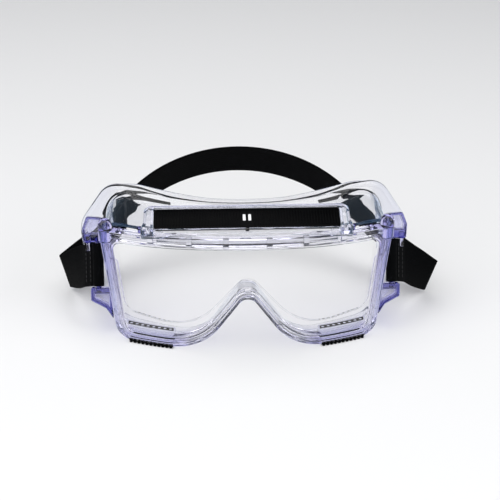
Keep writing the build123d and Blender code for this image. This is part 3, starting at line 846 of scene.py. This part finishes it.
# ---- Vent rivets and strap pins ---------------------------------------------------------------
# Deep violet turned pegs. Two rivets hold the tray's ends; the two pins carry the strap ends and
# are pressed into the lugs.
RIVET_AT, RIVET_SHANK, RIVET_HEAD = (58.8, 17.5, 68.1), 1.1, 1.8
PIN_RADIUS, PIN_HALF, PIN_CHAMFER = 1.5, 15.7, 0.3
peg_violet = clear_plastic("violet_peg_plastic", (0.42, 0.40, 0.80, 1), 900.0, haze=0.15)
rivet_rows = [(0.0, -4.2), (0.9, -4.2), (RIVET_SHANK, -4.0), (RIVET_SHANK, 0.0), (1.7, 0.0)]
rivet_rows += [(RIVET_HEAD, 0.15)] + dome(RIVET_HEAD, 0.4, 1.0)
pin_half = [(PIN_RADIUS, PIN_HALF - PIN_CHAMFER), (PIN_RADIUS - PIN_CHAMFER, PIN_HALF), (0.0, PIN_HALF)]
pin_rows = [(radius, -height) for radius, height in reversed(pin_half)] + pin_half
for name, side in (("left", -1), ("right", 1)):
    x, y, z = RIVET_AT
    rivet = linked(turned("rivet", rivet_rows, Matrix.Translation((side * x, y, z))), f"tray_rivet_{name}")
    finished(rivet, peg_violet, "mask", "violet_plastic", f"vent_rivet_{name}")
    pin_place = axes((side * PIN_CENTRE.x, PIN_CENTRE.y, PIN_CENTRE.z), (1, 0, 0), PIN_BACK, PIN_UP)
    pin = linked(turned("pin", pin_rows, pin_place), f"swivel_pin_{name}")
    finished(pin, peg_violet, "mask", "violet_plastic", f"strap_pin_{name}")

# ---- Bottom vents -------------------------------------------------------------------------------
# Under each cheek a smoky cassette is let into the rim, with a black grille on top of it and a
# black comb-fronted cover below, which is what the goggles stand on.
VENT_FROM, VENT_TO = 40.5, 68.5
HOLE_COUNT, HOLE_SET_BACK, HOLE_WIDTH, HOLE_INSET = 8, 11.4, 1.9, 2.8
COMB_FROM, COMB_TO, COMB_COUNT, COMB_SET_BACK = 42.0, 67.0, 11, 0.7


def lens_bar(name, front, rear, x_from, x_to, z_from, z_to, chamfer=0.2, steps=24):
    """A bar curved to the lens, between two set-backs, with chamfered long edges."""
    c = chamfer
    corners = [(front + c, z_from), (rear - c, z_from), (rear, z_from + c), (rear, z_to - c),
               (rear - c, z_to), (front + c, z_to), (front, z_to - c), (front, z_from + c)]
    points = []
    for i in range(steps + 1):
        x = x_from + (x_to - x_from) * i / steps
        points += [(x, lens_y(x, set_back), z) for set_back, z in corners]
    return outward(rings(name, points, steps + 1, len(corners), capped=True), 30)


def lens_row_tree():
    """Geometry Nodes: copies of the piece's own mesh along the lens curve, each turned to face out."""
    tree, given, result = node_tree(
        "row_on_lens_curve", "GeometryNodeTree",
        (("Geometry", "Geometry"), ("Count", "Int"), ("First", "Float"), ("Pitch", "Float"),
         ("Lens Radius", "Float"), ("Set Back", "Float"), ("Material", "Material")),
        (("Geometry", "Geometry"),))
    nodes, links, math = tree.nodes, tree.links, partial(reckoned, tree)
    index = nodes.new("GeometryNodeInputIndex").outputs[0]
    x = math("MULTIPLY_ADD", index, given.outputs["Pitch"], given.outputs["First"])
    radius = math("SUBTRACT", given.outputs["Lens Radius"], given.outputs["Set Back"])
    reach = math("SQRT", math("SUBTRACT", math("MULTIPLY", radius, radius), math("MULTIPLY", x, x)))
    y = math("SUBTRACT", given.outputs["Lens Radius"], reach)
    turn = math("ARCSINE", math("DIVIDE", x, radius))
    place, facing = nodes.new("ShaderNodeCombineXYZ"), nodes.new("ShaderNodeCombineXYZ")
    links.new(x, place.inputs[0])
    links.new(y, place.inputs[1])
    links.new(turn, facing.inputs[2])
    line, move = nodes.new("GeometryNodeMeshLine"), nodes.new("GeometryNodeSetPosition")
    links.new(given.outputs["Count"], line.inputs["Count"])
    links.new(line.outputs[0], move.inputs["Geometry"])
    links.new(place.outputs[0], move.inputs["Position"])
    return copies_on(tree, given, result, move.outputs[0], facing.outputs[0])


row_on_lens = lens_row_tree()


def along_lens(mesh, count, first, pitch, set_back, material):
    """A mesh at x = 0 repeated along the lens curve."""
    values = {"Count": count, "First": first * MM, "Pitch": pitch * MM, "Lens Radius": LENS_RADIUS * MM,
              "Set Back": set_back * MM, "Material": material}
    return grown(mesh, row_on_lens, **values)


smoke = opaque_plastic("smoke_moulding", (0.50, 0.51, 0.62, 1), (0.62, 0.63, 0.73, 1), 0.12, 0.3)
upright = Matrix.Identity(4)
for name, side in (("left", -1), ("right", 1)):
    # The cassette is an open trough; a tongue holds it in the rim, and pegs stand in it. The pegs are painted
    # light: their pale tops fill the grille's holes in place of the bright table seen through them.
    low, high = sorted((side * VENT_FROM, side * VENT_TO))
    cassette = linked(lens_bar("cassette", 8.4, 13.8, low, high, 0.9, 5.2), f"cassette_{name}")
    carved(cassette, [], [lens_bar("well", 9.3, 12.9, low + 1, high - 1, 3.3, 7, 0.1)])
    tongue = lens_bar("tongue", 2.0, 8.6, low + 1.4, high - 1.4, 0.44, 1.0, 0.1)
    first, pitch = low + HOLE_INSET, (VENT_TO - VENT_FROM - 2 * HOLE_INSET) / (HOLE_COUNT - 1)
    peg = block("peg", box_corners(1.5, 1.4), 3.2, 5.05, 0.2, upright, 2)
    painted_light_pegs = along_lens(peg, HOLE_COUNT, first, pitch, HOLE_SET_BACK, smoke)
    cassette.data = joined(f"cassette_{name}", cassette.data, tongue, painted_light_pegs)
    finished(cassette, smoke, "mask", "smoke_plastic", f"bottom_vent_housing_{name}")

    # The grille closes the trough, with one hole round each peg.
    grille = linked(lens_bar("grille", 9.35, 12.85, low + 1.05, high - 1.05, 3.4, 5.1, 0.15),
                    f"grille_{name}")
    holes = []
    for i in range(HOLE_COUNT):
        x = first + i * pitch
        holes.append(block("hole", rounded_corners(HOLE_WIDTH, 1.8, -0.9, 0.3), 2, 8, 0,
                           Matrix.Translation((x, lens_y(x, HOLE_SET_BACK), 0))))
    carved(grille, [], holes)
    finished(grille, black, "mask", "black_plastic", f"bottom_vent_grille_{name}")

    # The cover is a flat foot plate behind a comb of teeth.
    low, high = sorted((side * COMB_FROM, side * COMB_TO))
    comb = lens_bar("comb", -0.25, 1.9, low, high, -0.3, 0.25, 0.15)
    plate = lens_bar("plate", 1.8, 13.6, low, high, -1.2, 0.4, 0.2)
    pitch = (COMB_TO - COMB_FROM) / COMB_COUNT
    tooth = block("tooth", box_corners(pitch * 0.58, 2.3), -1.2, 0.95, 0.2, upright, 2)
    teeth = along_lens(tooth, COMB_COUNT, low + pitch / 2, pitch, COMB_SET_BACK, black)
    cover = linked(joined(f"comb_cover_{name}", comb, plate, teeth), f"comb_cover_{name}")
    finished(cover, black, "mask", "black_plastic", f"bottom_vent_cover_{name}")

# ---- Elastic headband ------------------------------------------------------------------------------
# One length of 25 mm black woven elastic, ribbed lengthwise. Each end goes round its pin and is
# sewn down to itself; from there it runs back, folds once and stands up as the loop behind.
STRAP_WIDTH, STRAP_THICK = 25.0, 1.5
TAB_ANGLE, TAB_SAG = radians(32.0), 0.17  # the strap hangs off square as it leaves the pin
TAB_LENGTH, TAB_MIDDLE = 18.0, 0.35  # the two sewn layers lie either side of this middle
WRAP_RADIUS, WRAP_TURN, LAYER = 2.42, 118, 0.8
LOOP_TILT, LOOP_FOOT = radians(32.0), (72.0, -0.6)
REAR_RADIUS, REAR_CENTRE = 84.0, (-2.0, 6.8)
REAR_LEFT, REAR_RIGHT = radians(-53.0), radians(50.0)
LOOP_UP = Vector((0, -sin(LOOP_TILT), cos(LOOP_TILT)))
LOOP_BACK = Vector((0, cos(LOOP_TILT), sin(LOOP_TILT)))
CREASE = {-1: (Vector((-106.1, 80.4, -0.8)), Vector((-111.9, 74.6, 24.6))),
          1: (Vector((111.2, 69.0, -0.8)), Vector((117.0, 60.6, 23.2)))}
STANDING_RUN = {-1: 30.0, 1: 48.0}
STANDING_BEND = {-1: (26.0, 0.8), 1: (26.0, 26.0)}  # the adjuster needs the left run straight


def rear_edge(angle, onward=0.0):
    """The loop's lower edge at an angle round the rear, or on along its tangent."""
    point = Vector((REAR_CENTRE[0] + REAR_RADIUS * sin(angle), LOOP_FOOT[0], LOOP_FOOT[1]))
    point += LOOP_BACK * (REAR_CENTRE[1] + REAR_RADIUS * cos(angle))
    heading = Vector((cos(angle), 0, 0)) - LOOP_BACK * sin(angle)
    return point + heading * (onward if angle > 0 else -onward)


def tab_ways(side):
    """The sewn tab's own directions: out from its face, and along it from the pin."""
    across = Vector((side * cos(TAB_ANGLE), 0, 0)) - PIN_BACK * sin(TAB_ANGLE)
    along = Vector((side * sin(TAB_ANGLE), 0, 0)) + PIN_BACK * cos(TAB_ANGLE)
    return across, along


def pin_section(side, across, along):
    """Both edges of the strap at a place beside the pin, in the tab's own directions."""
    across_way, along_way = tab_ways(side)
    point = Vector((side * PIN_CENTRE.x, PIN_CENTRE.y, PIN_CENTRE.z))
    point += across_way * across + along_way * along
    point -= PIN_UP * TAB_SAG * max(0.0, along - 3.0)
    return point - PIN_UP * STRAP_WIDTH / 2, point + PIN_UP * STRAP_WIDTH / 2


def strap_route(side):
    """Strap sections from the sewn end, round the pin and the fold, to the standing loop."""
    layer = (6.4, 8.0, 10.0, 12.0, 14.0)
    route = [(pin_section(side, -LAYER, b), None) for b in layer[::-1]]
    for k in range(-9, 10):
        a = radians(90 + WRAP_TURN * -k / 9) + pi
        route.append((pin_section(side, WRAP_RADIUS * cos(a), WRAP_RADIUS * sin(a)), None))
    route += [(pin_section(side, LAYER, b), None) for b in layer]
    standing = rear_edge((REAR_LEFT, 0, REAR_RIGHT)[side + 1], STANDING_RUN[side])
    standing = (standing, standing + LOOP_UP * STRAP_WIDTH)
    route += [(pin_section(side, TAB_MIDDLE, TAB_LENGTH), (9.0, 9.0)), (CREASE[side], (4.5, 4.5)),
              (standing, STANDING_BEND[side])]
    return route


SECTION_STEP = 1.6


def softened_route(route):
    """The route with its marked corners rounded and its long runs divided."""
    result = []
    for i, (edges, reach) in enumerate(route):
        if reach is None or i in (0, len(route) - 1):
            result.append(edges)
            continue
        before, after = route[i - 1][0], route[i + 1][0]
        for k in range(9):
            t = k / 8
            pair = []
            for e in (0, 1):
                u, v = edges[e] - before[e], after[e] - edges[e]
                cut_u, cut_v = min(reach[0], u.length * 0.48), min(reach[1], v.length * 0.48)
                a, c = edges[e] - u.normalized() * cut_u, edges[e] + v.normalized() * cut_v
                pair.append(a * (1 - t) ** 2 + edges[e] * 2 * t * (1 - t) + c * t * t)
            result.append(tuple(pair))
    divided = [result[0]]
    for pair in result[1:]:
        last = divided[-1]
        count = max(1, int((pair[0] + pair[1] - last[0] - last[1]).length / 2 / SECTION_STEP))
        divided += [tuple(last[e].lerp(pair[e], k / count) for e in (0, 1)) for k in range(1, count + 1)]
    return divided


rear = [rear_edge(REAR_LEFT + (REAR_RIGHT - REAR_LEFT) * k / 64) for k in range(65)]
rear = [((low, low + LOOP_UP * STRAP_WIDTH), None) for low in rear]
whole = softened_route(strap_route(-1) + rear + strap_route(1)[::-1])

RIB_WAVES, RIB_HEIGHT, STRAP_EDGE = 11, 0.09, 0.75


def strap_profile():
    """The webbing's section (across, through), ribbed on both faces and rounded at its edges."""
    half_w, half_t = STRAP_WIDTH / 2, STRAP_THICK / 2
    top = []
    count = RIB_WAVES * 4
    for k in range(count + 1):
        w = -half_w + STRAP_EDGE + (STRAP_WIDTH - 2 * STRAP_EDGE) * k / count
        top.append((w, half_t - RIB_HEIGHT * (0.5 - 0.5 * cos(2 * pi * RIB_WAVES * k / count))))
    for a in (pi / 3, pi / 6, 0, -pi / 6, -pi / 3):
        top.append((half_w - STRAP_EDGE + STRAP_EDGE * cos(a), half_t * sin(a)))
    return top + [(-w, -t) for w, t in top]


profile = strap_profile()


def strap_stretch(name, first, last):
    """One stretch of the headband's whole route, closed at both ends."""
    middles = [(low + high) / 2 for low, high in whole]
    run, runs = 0.0, [0.0]
    for a, b in zip(middles, middles[1:]):
        run += (b - a).length
        runs.append(run)
    points, places = [], []
    for i in range(first, last + 1):
        low, high = whole[i]
        along = (middles[min(i + 1, len(whole) - 1)] - middles[max(i - 1, 0)]).normalized()
        across = (high - low).normalized()
        through = across.cross(along).normalized()
        for w, t in profile:
            points.append(tuple(middles[i] + across * w + through * t))
            places.append((runs[i] * MM, w * MM))
    mesh = rings(name, points, last - first + 1, len(profile), capped=True)
    cloth = mesh.uv_layers.new(name="cloth")
    corners = np.zeros(len(mesh.loops), int)
    mesh.loops.foreach_get("vertex_index", corners)
    cloth.data.foreach_set("uv", np.array(places)[corners].ravel())
    return linked(outward(mesh, 50), name)


WEFT_PITCH, WARP_PITCH = 0.0009, 0.00105


def woven_webbing(name, tone, thread_tone):
    """Black elastic webbing: lengthwise cords crossed by a fine weft, matt, with a faint nap."""
    material, tree, out = new_material(name)
    shader = principled(tree, out, Specular_IOR_Level=0.03, Sheen_Weight=0.008, Sheen_Roughness=0.5)
    nodes, links, math = tree.nodes, tree.links, partial(reckoned, tree)
    place = nodes.new("ShaderNodeUVMap")
    place.uv_map = "cloth"
    split = nodes.new("ShaderNodeSeparateXYZ")
    links.new(place.outputs[0], split.inputs[0])
    weft = math("SINE", math("MULTIPLY", split.outputs[0], 2 * pi / WEFT_PITCH))
    warp = math("SINE", math("MULTIPLY", split.outputs[1], 2 * pi / WARP_PITCH))
    weave = math("MULTIPLY_ADD", math("MULTIPLY", weft, warp), 0.5, 0.5)
    fibre = nodes.new("ShaderNodeTexNoise")
    fibre.inputs["Scale"].default_value = 1800.0
    fibre.inputs["Detail"].default_value = 3.0
    links.new(place.outputs[0], fibre.inputs["Vector"])
    height = math("MULTIPLY_ADD", fibre.outputs[0], 0.5, weave)
    bump = nodes.new("ShaderNodeBump")
    bump.inputs["Strength"].default_value = 0.8
    bump.inputs["Distance"].default_value = 0.00012
    links.new(height, bump.inputs["Height"])
    links.new(bump.outputs[0], shader.inputs["Normal"])
    blend = nodes.new("ShaderNodeMix")
    blend.data_type = "RGBA"
    blend.inputs["A"].default_value, blend.inputs["B"].default_value = tone, thread_tone
    links.new(weave, blend.inputs["Factor"])
    links.new(blend.outputs["Result"], shader.inputs["Base Color"])
    links.new(math("MULTIPLY_ADD", fibre.outputs[0], 0.2, 0.72), shader.inputs["Roughness"])
    return material


def middle_of(edges):
    """The middle of a strap section."""
    return (edges[0] + edges[1]) / 2


webbing = woven_webbing("black_woven_elastic", (0.0008, 0.0009, 0.0011, 1), (0.0026, 0.0029, 0.0034, 1))
FRONT_SHARE = 0.72  # how far from the sewn tab towards the fold the front stretch of strap ends and the loop begins
seams = {}
for side in (-1, 1):
    tab_middle = middle_of(pin_section(side, TAB_MIDDLE, TAB_LENGTH))
    target = tab_middle.lerp(middle_of(CREASE[side]), FRONT_SHARE)
    seams[side] = min(range(len(whole)), key=lambda i: (middle_of(whole[i]) - target).length)
fronts = (("left", -1, 0, seams[-1]), ("right", 1, seams[1], len(whole) - 1))
for name, side, first, last in fronts:
    front = strap_stretch(f"strap_front_{name}", first, last)
    finished(front, webbing, None, "black_webbing", f"strap_end_{name}")
    start, end = placed([middle_of(pin_section(side, TAB_MIDDLE, 15.5)), middle_of(whole[seams[side]])])
    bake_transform(front)
band = strap_stretch("strap_loop", seams[-1], seams[1])
finished(band, webbing, "mask", "black_webbing", "headband")

# ---- Stitching ---------------------------------------------------------------------------------------
# Two rows of black thread close each sewn tab, and show on both of its faces. Each stitch is a
# short spindle that lies across the strap.
STITCH_COUNT, STITCH_PITCH, STITCH_LIFT = 8, 2.6, 1.6
STITCH_ROWS = (6.8, 12.2)
STITCH = [(0.0, -0.95), (0.16, -0.9), (0.24, -0.6), (0.27, 0.0), (0.24, 0.6), (0.16, 0.9), (0.0, 0.95)]
thread = opaque_plastic("black_thread", (0.006, 0.006, 0.007, 1), (0.012, 0.012, 0.014, 1), 0.55, 0.8)
for name, side in (("left", -1), ("right", 1)):
    rows = []
    across_way, along_way = tab_ways(side)
    for across, along in [(face, row) for face in (-1, 1) for row in STITCH_ROWS]:
        start, _ = pin_section(side, across * STITCH_LIFT, along)
        centre = start + PIN_UP * (STRAP_WIDTH / 2 - STITCH_PITCH * (STITCH_COUNT - 1) / 2)
        stitch = turned("stitch", STITCH, axes(tuple(centre), along_way, across_way, PIN_UP), 8)
        rows.append(repeated(stitch, STITCH_COUNT, tuple(PIN_UP * STITCH_PITCH), thread))
    stitches = linked(joined(f"tab_stitches_{name}", *rows), f"tab_stitches_{name}")
    finished(stitches, thread, f"{name}_strap_end", "black_thread", f"strap_stitching_{name}")

# ---- Strap adjuster ------------------------------------------------------------------------------------
# A black three-bar slide on the left of the loop; the strap runs between its bars.
SLIDER_LENGTH, SLIDER_BAR, SLIDER_RAIL, SLIDER_THICK, SLIDER_PLAY = 15.0, 2.6, 2.5, 1.5, 0.3
INSET = 0.02  # the bars' faces stay this far inside the rails'
slide_from, slide_to = rear_edge(REAR_LEFT), rear_edge(REAR_LEFT, STANDING_RUN[-1])
slide_way = (slide_to - slide_from).normalized()
slide_place = axes(tuple((slide_from + slide_to) / 2 + LOOP_UP * STRAP_WIDTH / 2), slide_way, LOOP_UP,
                   slide_way.cross(LOOP_UP))
gap, width = 0.8 + SLIDER_PLAY, STRAP_WIDTH + 2 * SLIDER_PLAY + 2 * SLIDER_RAIL
face, rail_at = gap + SLIDER_THICK, (width - SLIDER_RAIL) / 2
bar_at = (SLIDER_LENGTH - SLIDER_BAR) / 2 - INSET
rails = [block("rail", box_corners(SLIDER_LENGTH, SLIDER_RAIL), -face, face, 0.5,
               slide_place @ Matrix.Translation((0, y, 0))) for y in (rail_at, -rail_at)]
bars = []
for x, low, high in ((-bar_at, INSET - face, -gap), (bar_at, INSET - face, -gap), (0, gap, face - INSET)):
    bars.append(block("bar", box_corners(SLIDER_BAR, width - 1.2), low, high, 0.35,
                      slide_place @ Matrix.Translation((x, 0, 0))))
slider = linked(rails[0], "three_bar_slide")
carved(slider, rails[1:] + bars)
finished(slider, black, "adjuster", "black_plastic", "strap_slider")
